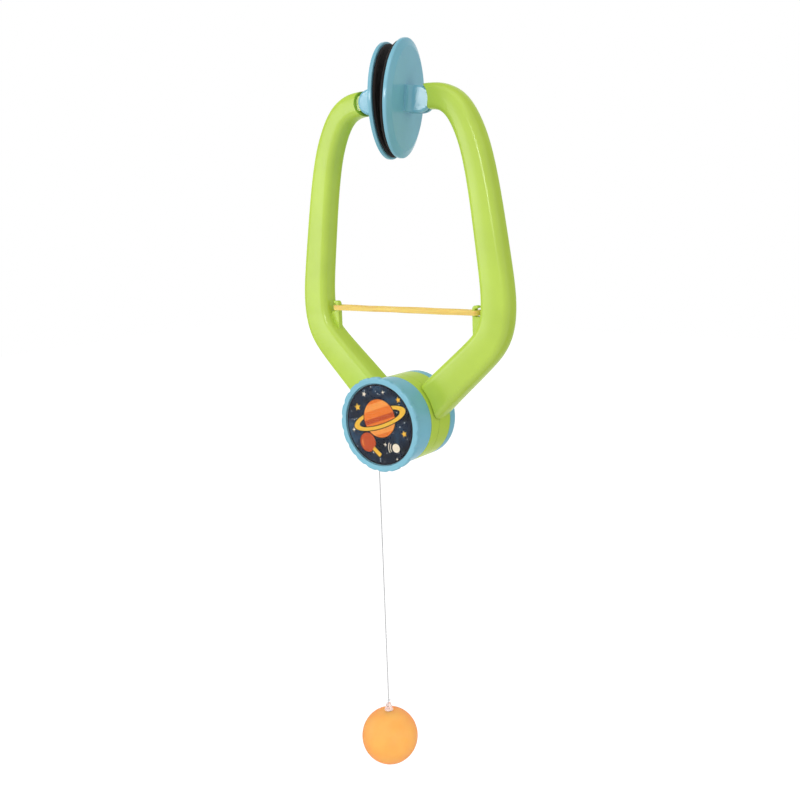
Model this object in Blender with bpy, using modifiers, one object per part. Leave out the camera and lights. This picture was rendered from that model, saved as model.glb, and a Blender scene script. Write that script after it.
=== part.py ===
"""Hanging table tennis trainer: a sprung clamp for a door lintel, a line reel, a line and a ball.

Metres, +Z up. The origin is midway between the two clamp pads. The dial of the reel faces -Y.
"""
import math

import bmesh
import bpy
from mathutils import Matrix, Vector

MM = 0.001

# Clamp pads, which hang on the ends of the arms
PIVOT_X = 19.7 * MM          # each pad pivot, from the middle
PAD_YAW = math.radians(17.4)  # the pads stand turned about Z to the arms
LEFT_TILT = math.radians(1)   # the left pad looks down a little
RIGHT_TILT = math.radians(-6)  # the right pad looks up, so that the pads are nearest at their lower edge
LEFT_RISE = 1.0 * MM         # each pad pivot, over the middle
RIGHT_RISE = -0.8 * MM
PAD_REACH = 13.0 * MM        # pivot to the inner side of the disc
PAD_RADIUS = 37.1 * MM
PAD_RIM = 2.5 * MM
PAD_CONE_DEPTH = 2.0 * MM
PAD_CONE_WIDTH = 5.0 * MM
FOAM_RADIUS = 34.2 * MM
FOAM_THICKNESS = 2.2 * MM    # with the glue under it
LUG_RADIUS = 8.3 * MM
LUG_WIDTH = 12.0 * MM
LUG_COVE = 5.0 * MM
LUG_SINK = 0.5 * MM          # how far the lug runs into the disc
SOCKET_RADIUS = 10.0 * MM    # hollow end of an arm, in which the lug can stand askew
TONGUE_WIDTH = 3.2 * MM
TONGUE_RADIUS = 5.0 * MM
PIN_RADIUS = 1.5 * MM

# Arms: the middle line of the right one from its tip to the drum axis, as (x, height over the drum axis)
HUB_DROP = 210.0 * MM
ARM_ROUTE = [(24.3, 210.6), (34, 210.7), (46, 205), (56.5, 187), (63.5, 162), (70.3, 120), (75, 80),
             (71, 58.5), (58, 44.2), (36, 24.2), (0, -9.4)]
ARM_STEPS = 3                # outline points for each stretch of the route
ARM_TIP_WIDTH = 15.6 * MM
ARM_ROOT_WIDTH = 26.0 * MM
ARM_HALF_DEPTH = 7.4 * MM
ARM_FLARE = 0.6              # share of the bar's length where its front starts to come forward
ROOT_FORWARD = 4.4 * MM      # how far the front has come forward at the drum axis
ARM_EDGE = 4.6 * MM          # rounding of the bar's edges
ARM_EDGE_STEPS = 3           # facets round each of them
RING_RIM = 2.4 * MM          # wall of the hub rings
RING_SINK = 1.4 * MM         # how far a bar runs into its own ring
LAP = 0.2 * MM               # step of a bar past the other arm's ring

# Hook posts and the rubber band between them
POST_X = 59.0 * MM
POST_HEIGHT = 73.9 * MM      # band over the drum axis
POST_DEPTH = 4.0 * MM
POST_INSIDE = 2.9 * MM       # straight inner side, from the post's middle line
POST_HEAD = (-0.1 * MM, 2.3 * MM, 2.8 * MM)  # middle and radius of the round head
POST_NECK = 2.1 * MM         # half the height of the band's notch
NECK_SIDE = 0.8 * MM         # bottom of the notch, inside the post's middle line
BAND_WIDTH = 3.4 * MM
BAND_THICKNESS = 1.5 * MM

# Drum stack, as stations along Y from the dial to the back
DRUM_RADIUS = 30.0 * MM
KNOB_RADIUS = 32.3 * MM
KNOB_LOBES = 20
KNOB_NOTCH = 0.7 * MM
KNOB_NOTCH_ANGLE = math.radians(4.5)
KNOB_PHASE = math.radians(13)
KNOB_FRONT = -32.9 * MM
KNOB_BACK = -29.3 * MM
WINDOW_RADIUS = 28.2 * MM
WINDOW_FLOOR = -30.9 * MM
HOUSING_FRONT = -28.9 * MM
HOUSING_BACK = -13.4 * MM
FRONT_RING = (-13.1 * MM, -4.7 * MM)
REAR_RING = (-3.8 * MM, 9.3 * MM)
CAP_FRONT = 9.6 * MM
CAP_BACK = 16.9 * MM
CAP_CORNER = 2.5 * MM
WALL = 2.0 * MM
TUBE_RADIUS = 9.0 * MM       # the arms turn on this tube
TUBE_BORE = 7.0 * MM
SLEEVE_END = -16.5 * MM      # the knob's sleeve, which carries the spool
SCREW_RADIUS = 1.9 * MM
SCREW_HEAD = (-30.6 * MM, -28.6 * MM)
SCREW_HEAD_RADIUS = 4.6 * MM
SCREW_END = 5.5 * MM
SCREW_SEAT = -27.5 * MM      # floor of the head's well in the knob
SCREW_WELL = 6.0 * MM        # radius of that well
BOSS_TIP = -8.0 * MM         # the cap's boss, which the screw goes into
BOSS_HOLE = 7.0 * MM         # bottom of the screw's hole in it
SPOOL_RADIUS = 25.0 * MM
SPOOL_CORE = 12.0 * MM
SPOOL_FLANGE = 1.4 * MM
WINDING_RADIUS = 14.0 * MM
SLIP_RADIUS = 26.0 * MM      # the washer between the arms' rings

# Line and ball
BALL_RADIUS = 20.0 * MM
BALL_WALL = 0.5 * MM
BALL_HOLE = 1.8 * MM
BALL_DROP = 231.0 * MM       # ball centre below the drum axis
LINE_X = -4.0 * MM
LINE_Y = -28.3 * MM
LINE_RADIUS = 0.3 * MM
LINE_POINTS = 12
LINE_NOTCH = 1.2 * MM        # half the width of the line's way out of the housing
LINE_START = 1.5 * MM        # the line starts this far up inside the drum's wall

GAP = 0.3 * MM               # between pieces that touch
CHAMFER = 0.6 * MM
ROUND_STEPS = 44             # facets round a large turned piece
SMALL_STEPS = 20             # facets round a small one
BIG = 0.1                    # reach of a cutter past what it cuts

HUB = Vector((0, 0, -HUB_DROP))
BAND_INNER = POST_DEPTH / 2 + GAP
BAND_OUTER = BAND_INNER + BAND_THICKNESS
NECK_X = POST_X - 1.7 * MM   # middle of the band's loop round the neck


def new_collection(name):
    collection = bpy.data.collections.new(name)
    bpy.context.scene.collection.children.link(collection)
    return collection


def clear_scene():
    for old in list(bpy.data.objects):
        bpy.data.objects.remove(old)


clear_scene()
PARTS = new_collection("table_tennis_trainer")
CUTTERS = new_collection("cutters")


def plastic(name, colour, roughness, alpha=1.0, metallic=0.0):
    material = bpy.data.materials.new(name)
    material.use_nodes = True
    shader = material.node_tree.nodes["Principled BSDF"]
    shader.inputs["Base Color"].default_value = (*colour, 1)
    shader.inputs["Roughness"].default_value = roughness
    shader.inputs["Metallic"].default_value = metallic
    shader.inputs["Alpha"].default_value = alpha
    return material


GREEN = plastic("lime_plastic", (0.52, 0.70, 0.10), 0.35)
BLUE = plastic("light_blue_plastic", (0.30, 0.58, 0.72), 0.40)
TEAL = plastic("teal_plastic", (0.20, 0.43, 0.52), 0.40)
FOAM = plastic("black_foam", (0.015, 0.014, 0.014), 0.90)
LATEX = plastic("tan_rubber", (0.80, 0.52, 0.14), 0.55)
PRINT = plastic("printed_dial", (0.02, 0.04, 0.08), 0.50)
CLEAR = plastic("clear_plastic", (0.95, 0.95, 0.95), 0.05, alpha=0.3)
CELLULOID = plastic("orange_celluloid", (1.0, 0.40, 0.06), 0.45)
NYLON = plastic("nylon", (0.75, 0.75, 0.73), 0.45)
STEEL = plastic("zinc_steel", (0.60, 0.60, 0.62), 0.35, metallic=1.0)


def place(name, mesh, material, parent=None):
    """Make a named part of the trainer from a mesh in its parent's space."""
    part = bpy.data.objects.new(name, mesh)
    mesh.materials.clear()
    mesh.materials.append(material)
    mesh.shade_smooth()
    mesh.set_sharp_from_angle(angle=math.radians(32))
    PARTS.objects.link(part)
    part.parent = parent
    return part


def guide(name, mesh, parent=None):
    """Make a shape that only cuts or joins a part."""
    shape = bpy.data.objects.new(name, mesh)
    shape.hide_render = True
    shape.display_type = "WIRE"
    CUTTERS.objects.link(shape)
    shape.parent = parent
    return shape


def boolean(part, operation, shape):
    step = part.modifiers.new(shape.name, "BOOLEAN")
    step.operation = operation
    step.object = shape
    step.solver = "EXACT"


def empty(name, location, rotation=(0, 0, 0), parent=None):
    axis = bpy.data.objects.new(name, None)
    axis.location = location
    axis.rotation_euler = rotation
    axis.empty_display_size = 0.01
    PARTS.objects.link(axis)
    axis.parent = parent
    return axis


def tidy(mesh):
    """Weld a mesh's loose caps and turn its faces outwards."""
    work = bmesh.new()
    work.from_mesh(mesh)
    bmesh.ops.remove_doubles(work, verts=work.verts, dist=0.002 * MM)
    bmesh.ops.recalc_face_normals(work, faces=work.faces)
    work.to_mesh(mesh)
    work.free()
    return mesh


def evaluated(thing):
    """The mesh of an object with its modifiers, in place of the object."""
    CUTTERS.objects.link(thing)
    depsgraph = bpy.context.evaluated_depsgraph_get()
    mesh = bpy.data.meshes.new_from_object(thing.evaluated_get(depsgraph))
    bpy.data.objects.remove(thing)
    return tidy(mesh)


def flat_mesh(loops, depth, edge=0.0, edge_steps=1):
    """An outline in X and Z, with holes, of this depth along Y. A rounded edge swells it by its radius."""
    curve = bpy.data.curves.new("outline", "CURVE")
    curve.dimensions = "2D"
    curve.fill_mode = "BOTH"
    curve.extrude = depth / 2 - edge
    curve.bevel_depth = edge
    curve.bevel_resolution = edge_steps
    for points in loops:
        spline = curve.splines.new("POLY")
        spline.points.add(len(points) - 1)
        for corner, (x, z) in zip(spline.points, points):
            corner.co = (x, z, 0, 1)
        spline.use_cyclic_u = True
    mesh = evaluated(bpy.data.objects.new("outline", curve))
    mesh.transform(Matrix.Rotation(math.pi / 2, 4, "X"))
    return mesh


def turned_mesh(profile, steps, closed):
    """A solid turned about Y from (radius, y) points. An open profile starts and ends on the axis."""
    count = len(profile)
    edges = [(i, i + 1) for i in range(count - 1)]
    if closed:
        edges.append((count - 1, 0))
    mesh = bpy.data.meshes.new("profile")
    mesh.from_pydata([(radius, 0, -y) for radius, y in profile], edges, [])
    holder = bpy.data.objects.new("profile", mesh)
    screw = holder.modifiers.new("turn", "SCREW")
    screw.axis = "Z"
    screw.steps = steps
    screw.render_steps = steps
    screw.use_merge_vertices = True
    screw.merge_threshold = 0.002 * MM
    mesh = evaluated(holder)
    mesh.transform(Matrix.Rotation(math.pi / 2, 4, "X"))
    return mesh


def ring_mesh(inner, outer, front, back, steps=SMALL_STEPS):
    return turned_mesh([(outer, front), (outer, back), (inner, back), (inner, front)], steps, True)


def rod_mesh(radius, front, back, steps=SMALL_STEPS):
    return turned_mesh([(0, front), (radius, front), (radius, back), (0, back)], steps, False)


def box_mesh(low, high):
    mesh = bpy.data.meshes.new("box")
    work = bmesh.new()
    bmesh.ops.create_cube(work, size=1)
    middle = (Vector(low) + Vector(high)) / 2
    size = Vector(high) - Vector(low)
    matrix = Matrix.Translation(middle) @ Matrix.Diagonal((*size, 1))
    bmesh.ops.transform(work, matrix=matrix, verts=work.verts)
    work.to_mesh(mesh)
    work.free()
    return mesh


def arc(centre, radius, start, end, steps):
    """Points on an arc, from one angle to another in degrees."""
    angles = [math.radians(start + (end - start) * i / steps) for i in range(steps + 1)]
    return [(centre[0] + radius * math.cos(a), centre[1] + radius * math.sin(a)) for a in angles]


def smooth_route(points, steps):
    """Points on a smooth curve through the route's own points."""
    ends = [2 * points[0] - points[1], *points, 2 * points[-1] - points[-2]]
    route = []
    for before, start, end, after in zip(ends, ends[1:], ends[2:], ends[3:]):
        for i in range(steps):
            t = i / steps
            route.append(0.5 * (2 * start + (end - before) * t
                                + (2 * before - 5 * start + 4 * end - after) * t ** 2
                                + (3 * start - before - 3 * end + after) * t ** 3))
    return route + [points[-1]]


def loft_mesh(sections):
    """A solid through rings of points, with a flat cap at each end."""
    count = len(sections[0])
    points = [point for section in sections for point in section]
    faces = [tuple(range(count)), tuple(range(len(points) - count, len(points)))]
    for start in range(0, len(points) - count, count):
        for i in range(count):
            j = (i + 1) % count
            faces.append((start + i, start + j, start + count + j, start + count + i))
    mesh = bpy.data.meshes.new("loft")
    mesh.from_pydata(points, [], faces)
    return tidy(mesh)


def bar_mesh(side):
    """An arm's bar, which grows wider from its tip and comes forward towards its root."""
    route = smooth_route([Vector((x * MM, z * MM)) for x, z in ARM_ROUTE], ARM_STEPS)
    lengths = [0.0]
    for a, b in zip(route, route[1:]):
        lengths.append(lengths[-1] + (b - a).length)
    back = ARM_HALF_DEPTH - ARM_EDGE
    sections = []
    for i, point in enumerate(route):
        along = route[min(i + 1, len(route) - 1)] - route[max(i - 1, 0)]
        across = Vector((-along.y, along.x)).normalized()
        share = lengths[i] / lengths[-1]
        half = (ARM_TIP_WIDTH + (ARM_ROOT_WIDTH - ARM_TIP_WIDTH) * share) / 2 - ARM_EDGE
        front = -back - ROOT_FORWARD * max(0.0, (share - ARM_FLARE) / (1 - ARM_FLARE))
        corners = ((half, back), (-half, back), (-half, front), (half, front))
        section = []
        for quarter, corner in enumerate(corners):
            for u, y in arc(corner, ARM_EDGE, 90 * quarter, 90 * quarter + 90, ARM_EDGE_STEPS):
                spot = point + across * u
                section.append((side * spot.x, y, spot.y))
        sections.append(section)
    return loft_mesh(sections)


def ring_profile(web, open_end):
    """A hub ring: a web away from the other ring, a sleeve, and a rim that closes over the slip washer."""
    inward = 1 if open_end > web else -1
    floor = web + inward * WALL
    edge = inward * CHAMFER
    bore = TUBE_RADIUS + GAP
    rim = DRUM_RADIUS - RING_RIM
    lip = open_end + inward * GAP
    return [(DRUM_RADIUS - CHAMFER, web), (DRUM_RADIUS, web + edge), (DRUM_RADIUS, lip - edge / 4),
            (DRUM_RADIUS - CHAMFER / 4, lip), (rim, lip), (rim, floor), (bore + WALL, floor),
            (bore + WALL, open_end), (bore, open_end), (bore, web)]


def root_cutter(side):
    """What an arm's bar leaves free at the drum: the other arm's ring, and the inside of its own."""
    clear = DRUM_RADIUS + 2 * GAP
    own = DRUM_RADIUS - RING_SINK
    if side > 0:
        step = REAR_RING[0] + LAP
        front, back = clear, own
    else:
        step = FRONT_RING[1] - LAP
        front, back = own, clear
    profile = [(0, -BIG), (front, -BIG), (front, step), (back, step), (back, BIG), (0, BIG)]
    return turned_mesh(profile, ROUND_STEPS, False)


def post_outline(side):
    """A hook post: straight inside, a round head, and a neck outside that the band goes round."""
    head_x, head_z, head_radius = POST_HEAD
    head = arc((head_x, head_z), head_radius, 180, 0, 8)
    lip = head_x + head_radius
    neck = [(lip - 0.5 * MM, POST_NECK), (-NECK_SIDE, POST_NECK), (-NECK_SIDE, -POST_NECK),
            (lip, -POST_NECK - 0.5 * MM)]
    foot = [(9.0 * MM, -9.5 * MM), (2.0 * MM, -19.0 * MM), (-POST_INSIDE, -15.5 * MM)]
    points = head + neck + foot
    return [(side * (POST_X + x), POST_HEIGHT + z) for x, z in points]


def pad_frame(side):
    """The pad pivot's space: X to the other pad, Y along the pin, Z up, before the pad tilts."""
    rise, turn = (LEFT_RISE, PAD_YAW) if side < 0 else (RIGHT_RISE, PAD_YAW + math.pi)
    return (side * PIVOT_X, 0, rise), (0, 0, turn)


def tongue_mesh():
    """The arm's tongue, round about the pin, which runs back into the bar."""
    reach = -14.5 * MM
    edge = 0.4 * MM
    radius = TONGUE_RADIUS - edge
    points = [(reach, -radius), *arc((0, 0), radius, -90, 90, 12), (reach, radius)]
    return flat_mesh([points], TONGUE_WIDTH, edge)


def make_arm(name, side, ring):
    hub = empty(name + "_axis", HUB)
    part = place(name, bar_mesh(side), GREEN, hub)
    boolean(part, "DIFFERENCE", guide(name + "_root", root_cutter(side), hub))
    boolean(part, "UNION", guide(name + "_ring", turned_mesh(ring, ROUND_STEPS, True), hub))
    post = flat_mesh([post_outline(side)], POST_DEPTH)
    boolean(part, "UNION", guide(name + "_post", post, hub))
    location, rotation = pad_frame(side)
    pivot = empty(name + "_pivot", location, rotation)
    socket = guide(name + "_socket", rod_mesh(SOCKET_RADIUS, -BIG, BIG, ROUND_STEPS))
    socket.location = location
    boolean(part, "DIFFERENCE", socket)
    boolean(part, "UNION", guide(name + "_tongue", tongue_mesh(), pivot))
    bore = rod_mesh(PIN_RADIUS + GAP, -BIG, BIG)
    boolean(part, "DIFFERENCE", guide(name + "_pin_bore", bore, pivot))


def lug_meshes():
    """The pad's lug, as its round side view and its plan with coves, which are crossed."""
    foot = PAD_REACH - PAD_RIM - PAD_CONE_DEPTH
    root = foot + LUG_SINK
    half = LUG_WIDTH / 2
    side_view = [(root, LUG_RADIUS), *arc((0, 0), LUG_RADIUS, 90, 270, 14), (root, -LUG_RADIUS)]
    cove = arc((foot - LUG_COVE, half + LUG_COVE), LUG_COVE, -90, 0, 5)
    upper = [(-BIG, half), *cove, (root, half + LUG_COVE)]
    plan = upper + [(x, -y) for x, y in reversed(upper)]
    body = flat_mesh([side_view], 2 * (half + LUG_COVE) - CHAMFER)
    crossing = flat_mesh([plan], 4 * LUG_RADIUS)
    crossing.transform(Matrix.Rotation(-math.pi / 2, 4, "X"))
    return body, crossing


def pad_disc_mesh():
    inner = PAD_REACH
    rim = inner - PAD_RIM
    outer = rim - PAD_CONE_DEPTH
    edge = 0.5 * MM
    profile = [(0, -inner), (PAD_RADIUS - edge, -inner), (PAD_RADIUS, edge - inner),
               (PAD_RADIUS, -rim - edge), (PAD_RADIUS - edge, -rim),
               (PAD_RADIUS - PAD_CONE_WIDTH, -outer), (0, -outer)]
    mesh = turned_mesh(profile, ROUND_STEPS, False)
    mesh.transform(Matrix.Rotation(math.pi / 2, 4, "Z"))
    return mesh


def foam_mesh():
    back = PAD_REACH + GAP
    face = PAD_REACH + FOAM_THICKNESS
    edge = 0.5 * MM
    profile = [(0, -face), (FOAM_RADIUS - edge, -face), (FOAM_RADIUS, edge - face), (FOAM_RADIUS, -back),
               (0, -back)]
    mesh = turned_mesh(profile, ROUND_STEPS, False)
    mesh.transform(Matrix.Rotation(math.pi / 2, 4, "Z"))
    return mesh


def make_pad(name, side, tilt):
    location, (_, _, turn) = pad_frame(side)
    pivot = empty(name + "_axis", location, (0, tilt, turn))
    disc = place(name + "_disc", pad_disc_mesh(), BLUE, pivot)
    body, crossing = lug_meshes()
    lug = guide(name + "_lug", body, pivot)
    boolean(lug, "INTERSECT", guide(name + "_lug_plan", crossing, pivot))
    boolean(disc, "UNION", lug)
    slot_half = TONGUE_WIDTH / 2 + GAP
    slot_end = TONGUE_RADIUS + 2 * GAP
    slot = box_mesh((-BIG, -slot_half, -BIG), (slot_end, slot_half, BIG))
    boolean(disc, "DIFFERENCE", guide(name + "_slot", slot, pivot))
    pin_end = LUG_WIDTH / 2 - 2 * MM     # the cheek on the dial's side hides the pin
    dial_side = -1 if side < 0 else 1
    ends = sorted((dial_side * pin_end, -dial_side * BIG))
    boolean(disc, "DIFFERENCE", guide(name + "_pin_bore", rod_mesh(PIN_RADIUS + GAP / 2, *ends), pivot))
    pin_ends = sorted((dial_side * (pin_end - GAP), -dial_side * LUG_WIDTH / 2))
    place(name + "_pin", rod_mesh(PIN_RADIUS, *pin_ends), STEEL, pivot)
    place(name + "_foam", foam_mesh(), FOAM, pivot)


def make_band_half(name, side):
    """Half of the band: two strands and the loop round one post."""
    axis = empty(name + "_axis", HUB + Vector((side * NECK_X, 0, POST_HEIGHT)))
    middle = GAP / 2 - NECK_X
    outside = [(middle, -BAND_OUTER), *arc((0, 0), BAND_OUTER, -90, 90, 12), (middle, BAND_OUTER)]
    inside = [(middle, BAND_INNER), *arc((0, 0), BAND_INNER, 90, -90, 12), (middle, -BAND_INNER)]
    mesh = flat_mesh([[(side * x, y) for x, y in outside + inside]], BAND_WIDTH)
    mesh.transform(Matrix.Rotation(-math.pi / 2, 4, "X"))
    place(name, mesh, LATEX, axis)


def knob_outline(edge):
    """The winding knob's rim: broad lobes with a shallow notch between them."""
    steps = 6
    points = []
    for i in range(KNOB_LOBES * steps):
        angle = 2 * math.pi * i / (KNOB_LOBES * steps)
        pitch = 2 * math.pi / KNOB_LOBES
        off = (angle + pitch / 2) % pitch - pitch / 2
        share = min(abs(off) / KNOB_NOTCH_ANGLE, 1)
        radius = KNOB_RADIUS - edge - KNOB_NOTCH * math.cos(share * math.pi / 2) ** 2
        points.append((radius * math.cos(angle + KNOB_PHASE), radius * math.sin(angle + KNOB_PHASE)))
    return points


def make_knob():
    axis = empty("winding_knob_axis", HUB)
    edge = 0.7 * MM
    rim = flat_mesh([knob_outline(edge)], KNOB_BACK - KNOB_FRONT, edge, 0)
    rim.transform(Matrix.Translation((0, (KNOB_FRONT + KNOB_BACK) / 2, 0)))
    knob = place("winding_knob", rim, BLUE, axis)
    sleeve = rod_mesh(TUBE_RADIUS, KNOB_BACK - CHAMFER, SLEEVE_END)
    boolean(knob, "UNION", guide("knob_sleeve", sleeve, axis))
    bore = SCREW_RADIUS + GAP
    profile = [(0, -BIG), (WINDOW_RADIUS, -BIG), (WINDOW_RADIUS, WINDOW_FLOOR), (SCREW_WELL, WINDOW_FLOOR),
               (SCREW_WELL, SCREW_SEAT), (bore, SCREW_SEAT), (bore, BIG), (0, BIG)]
    boolean(knob, "DIFFERENCE", guide("knob_bore", turned_mesh(profile, ROUND_STEPS, False), axis))

    dial = rod_mesh(WINDOW_RADIUS - 2 * GAP, WINDOW_FLOOR - 2 * GAP, WINDOW_FLOOR - GAP, ROUND_STEPS)
    place("dial_disc", dial, PRINT, axis)
    lens_back = WINDOW_FLOOR - 3 * GAP
    lens_edge = lens_back - 0.5 * MM
    lens_radius = WINDOW_RADIUS - GAP
    crown = 0.9 * MM
    dome = [(lens_radius * r, lens_edge - crown * (1 - r * r)) for r in (0, 0.25, 0.5, 0.75, 1)]
    lens = turned_mesh([*dome, (lens_radius, lens_back), (0, lens_back)], ROUND_STEPS, False)
    place("dial_lens", lens, CLEAR, axis)

    front = HOUSING_FRONT + 0.5 * MM
    back = HOUSING_BACK - WALL - 0.6 * MM
    bore = TUBE_RADIUS + GAP
    near = front + SPOOL_FLANGE
    far = back - SPOOL_FLANGE
    spool = [(SPOOL_RADIUS, front), (SPOOL_RADIUS, near), (SPOOL_CORE, near), (SPOOL_CORE, far),
             (SPOOL_RADIUS, far), (SPOOL_RADIUS, back), (bore, back), (bore, front)]
    place("line_spool", turned_mesh(spool, SMALL_STEPS, True), NYLON, axis)
    place("line_winding", ring_mesh(SPOOL_CORE + GAP, WINDING_RADIUS, near + GAP, far - GAP), CLEAR, axis)


def make_drum():
    axis = empty("drum_axis", HUB)
    inside = DRUM_RADIUS - 2.8 * MM
    floor = HOUSING_BACK - WALL + 0.2 * MM
    hole = SCREW_RADIUS + GAP
    tube_end = REAR_RING[1] - GAP
    profile = [(DRUM_RADIUS - CHAMFER, HOUSING_FRONT), (DRUM_RADIUS, HOUSING_FRONT + CHAMFER),
               (DRUM_RADIUS, HOUSING_BACK - CHAMFER), (DRUM_RADIUS - CHAMFER, HOUSING_BACK),
               (TUBE_RADIUS, HOUSING_BACK), (TUBE_RADIUS, tube_end), (TUBE_BORE, tube_end),
               (TUBE_BORE, HOUSING_BACK), (hole, HOUSING_BACK), (hole, floor), (inside, floor),
               (inside, HOUSING_FRONT)]
    housing = place("reel_housing", turned_mesh(profile, ROUND_STEPS, True), TEAL, axis)
    notch_top = CHAMFER - inside
    notch = box_mesh((LINE_X - LINE_NOTCH, -BIG, -BIG), (LINE_X + LINE_NOTCH, LINE_Y + LINE_NOTCH, notch_top))
    boolean(housing, "DIFFERENCE", guide("line_notch", notch, axis))

    boss = TUBE_BORE - GAP
    thread = SCREW_RADIUS + GAP
    cap_floor = CAP_BACK - WALL
    cap_inside = DRUM_RADIUS - RING_RIM
    rounded = arc((DRUM_RADIUS - CAP_CORNER, CAP_BACK - CAP_CORNER), CAP_CORNER, 0, 90, 4)
    profile = [(0, BOSS_HOLE), (thread, BOSS_HOLE), (thread, BOSS_TIP), (boss, BOSS_TIP), (boss, cap_floor),
               (cap_inside, cap_floor), (cap_inside, CAP_FRONT), (DRUM_RADIUS - CHAMFER, CAP_FRONT),
               (DRUM_RADIUS, CAP_FRONT + CHAMFER), *rounded, (0, CAP_BACK)]
    place("back_cap", turned_mesh(profile, ROUND_STEPS, False), BLUE, axis)

    top, under = SCREW_HEAD
    screw = [(0, top), (SCREW_HEAD_RADIUS - CHAMFER, top), (SCREW_HEAD_RADIUS, top + CHAMFER),
             (SCREW_HEAD_RADIUS, under), (SCREW_RADIUS, under), (SCREW_RADIUS, SCREW_END - SCREW_RADIUS),
             (0, SCREW_END)]
    place("axle_screw", turned_mesh(screw, SMALL_STEPS, False), STEEL, axis)
    spring = ring_mesh(SCREW_RADIUS + 2 * GAP, SCREW_WELL - 2 * GAP, under + GAP, SCREW_SEAT - GAP)
    place("spring_washer", spring, STEEL, axis)
    seam = FRONT_RING[1] + GAP
    place("slip_washer", ring_mesh(TUBE_RADIUS + GAP, SLIP_RADIUS, seam, seam + GAP), NYLON, axis)


def tube_mesh(points, radius, cyclic=False):
    curve = bpy.data.curves.new("tube", "CURVE")
    curve.dimensions = "3D"
    curve.bevel_depth = radius
    curve.bevel_resolution = 2
    curve.use_fill_caps = True
    spline = curve.splines.new("POLY")
    spline.points.add(len(points) - 1)
    for knot, point in zip(spline.points, points):
        knot.co = (*point, 1)
    spline.use_cyclic_u = cyclic
    return evaluated(bpy.data.objects.new("tube", curve))


def make_ball():
    """The ball, its eyelet, and the line tied through the eyelet."""
    hang = empty("line_axis", HUB + Vector((LINE_X, LINE_Y, -DRUM_RADIUS)))
    centre = empty("ball_axis", Vector((0, 0, DRUM_RADIUS - BALL_DROP)), parent=hang)
    inner = BALL_RADIUS - BALL_WALL
    top_in = math.degrees(math.acos(BALL_HOLE / inner))
    top_out = math.degrees(math.acos(BALL_HOLE / BALL_RADIUS))
    inside = arc((0, 0), inner, -90, top_in, 8)
    outside = arc((0, 0), BALL_RADIUS, top_out, -90, 14)
    inside[0] = (0, -inner)
    outside[-1] = (0, -BALL_RADIUS)
    shell = turned_mesh(inside + outside, 28, False)
    shell.transform(Matrix.Rotation(math.pi / 2, 4, "X"))
    place("ball", shell, CELLULOID, centre)

    base = BALL_RADIUS + GAP
    flange_top = base + 0.7 * MM
    eye = flange_top + 1.6 * MM
    eye_radius = 0.9 * MM
    crown = 1.0 * MM
    crown_z = eye + 1.3 * MM
    edge = 0.3 * MM
    foot = 2.5 * MM
    outline = [(-foot, flange_top - edge), (foot, flange_top - edge), *arc((0, crown_z), crown, 10, 170, 8)]
    hole = arc((0, eye), eye_radius + edge, 0, 330, 11)
    eyelet = place("ball_eyelet", flat_mesh([outline, hole], 2.2 * MM, edge), CLEAR, centre)
    stem = [(0, base + 0.7 * MM), (3.4 * MM, base + 0.7 * MM), (3.6 * MM, base), (BALL_HOLE - GAP, base),
            (BALL_HOLE - GAP, base - 3 * MM), (0, base - 3 * MM)]
    flange = turned_mesh(stem, SMALL_STEPS, False)
    flange.transform(Matrix.Rotation(math.pi / 2, 4, "X"))
    boolean(eyelet, "UNION", guide("eyelet_flange", flange, centre))

    loop_radius = 1.75 * MM
    loop_z = eye + loop_radius - 0.1 * MM
    circle = [(0, y, z) for y, z in arc((0, loop_z), loop_radius, 0, 330, 11)]
    knot = place("line_knot", tube_mesh(circle, LINE_RADIUS, True), CLEAR, centre)
    knot_radius = 0.9 * MM
    knot_z = loop_z + loop_radius + 0.5 * MM
    lump_side = arc((0, knot_z), knot_radius, 90, -90, 6)
    lump_side[0] = (0, knot_z + knot_radius)
    lump_side[-1] = (0, knot_z - knot_radius)
    lump = turned_mesh(lump_side, 10, False)
    lump.transform(Matrix.Rotation(math.pi / 2, 4, "X"))
    boolean(knot, "UNION", guide("knot_lump", lump, centre))

    low = DRUM_RADIUS - BALL_DROP + knot_z + knot_radius + GAP
    step = (low - LINE_START) / (LINE_POINTS - 1)
    points = [(0, 0, LINE_START + step * i) for i in range(LINE_POINTS)]
    place("hanging_line", tube_mesh(points, LINE_RADIUS), CLEAR, hang)


make_arm("left_arm", -1, ring_profile(*FRONT_RING))
make_arm("right_arm", 1, ring_profile(REAR_RING[1], REAR_RING[0]))
make_pad("left_pad", -1, LEFT_TILT)
make_pad("right_pad", 1, RIGHT_TILT)
make_band_half("band_left_half", -1)
make_band_half("band_right_half", 1)
make_drum()
make_knob()
make_ball()
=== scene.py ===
"""Looks of the hanging table tennis trainer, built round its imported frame.

Metres, +Z up, in the frame's own space: the origin is midway between the clamp pads, the dial faces -Y.
"""
import math

import bmesh
import bpy
from mathutils import Euler, Matrix, Vector


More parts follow.
